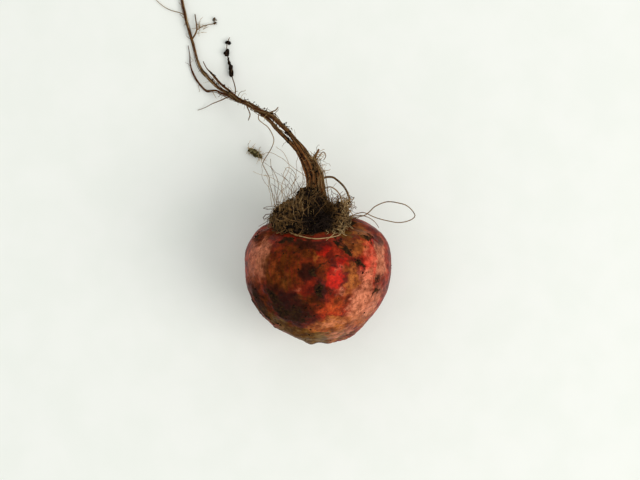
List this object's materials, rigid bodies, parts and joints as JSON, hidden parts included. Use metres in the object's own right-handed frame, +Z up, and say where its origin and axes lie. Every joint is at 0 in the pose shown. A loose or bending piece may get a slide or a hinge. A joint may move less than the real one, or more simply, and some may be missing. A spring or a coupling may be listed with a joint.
{
  "type": "red-skinned storage root",
  "caption": "Round, red-skinned storage root lying on its side, freshly dug, with its crown knob, long branched tap root, nest of fine roots and clinging soil.",
  "frame": {"origin": "centre of the small flat spot that the root rests on", "axes": "+Z up, +Y towards the root end and its tap root, -Y towards the crown, +X to the right seen from above with the tap root at the top"},
  "size_m": [0.1482, 0.2317, 0.0782],
  "materials": {
    "red_skin": "thin red to pink root skin, satin where bare, dull brown where soil has dried on it",
    "brown_root": "matt brown corky root with paler fine roots, matted with dark soil at its base",
    "dark_soil": "matt dark crumbly soil",
    "olive_soil": "matt olive-brown soil bound with fine root hairs"
  },
  "bodies": {
    "root": {"storage_root": "red_skin", "tap_root": "brown_root", "soil_clod_long": "dark_soil", "soil_clod_oval": "dark_soil", "soil_clod_small": "dark_soil", "soil_clod_olive": "olive_soil"}
  },
  "joints": []
}
